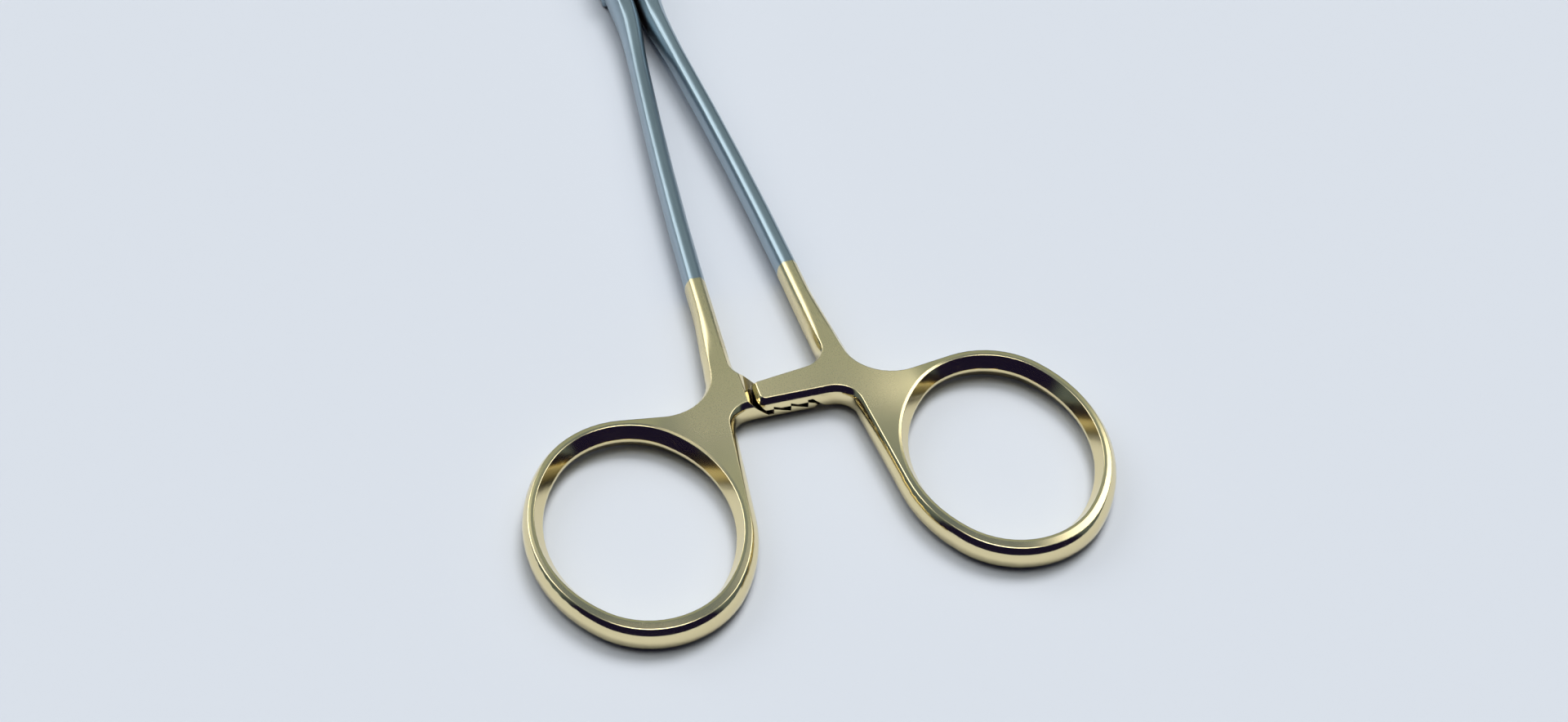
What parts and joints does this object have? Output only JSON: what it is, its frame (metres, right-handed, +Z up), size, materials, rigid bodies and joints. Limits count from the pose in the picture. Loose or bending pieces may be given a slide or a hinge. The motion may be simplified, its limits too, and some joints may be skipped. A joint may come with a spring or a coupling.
{
  "type": "surgical needle holder",
  "caption": "Ring-handled surgical needle holder with gold-plated handles, steel shanks, ratchet lock, box lock hinge and short straight jaws with hard gripping pads, closed on its ratchet.",
  "frame": {"origin": "bottom centre of the object's box: on the surface that the box lock lies on, midway between the ring ends and the jaw tip, in the plane where the halves meet", "axes": "+Y along the instrument from the rings to the jaw tip, +Z up through its thickness along the pin, +X to the side of the ring whose ratchet arm lies on top"},
  "size_m": [0.0818, 0.18, 0.007],
  "materials": {
    "handle_steel": "satin stainless steel, with the rings, ratchet and first part of the shanks gold plated",
    "pin_steel": "polished stainless steel",
    "gripping_pad": "dark matt tungsten carbide with fine cross-cut serrations"
  },
  "bodies": {
    "female_body": {"female_half": "handle_steel", "box_lock_pin": "pin_steel", "female_jaw_insert": "gripping_pad"},
    "male_body": {"male_half": "handle_steel", "male_jaw_insert": "gripping_pad"}
  },
  "joints": [
    {"name": "box_lock", "type": "hinge", "parent": "female_body", "child": "male_body", "pos_m": [0, 0.0536, 0.0035], "axis": [0, 0, -1], "range_deg": [0, 40]}
  ]
}
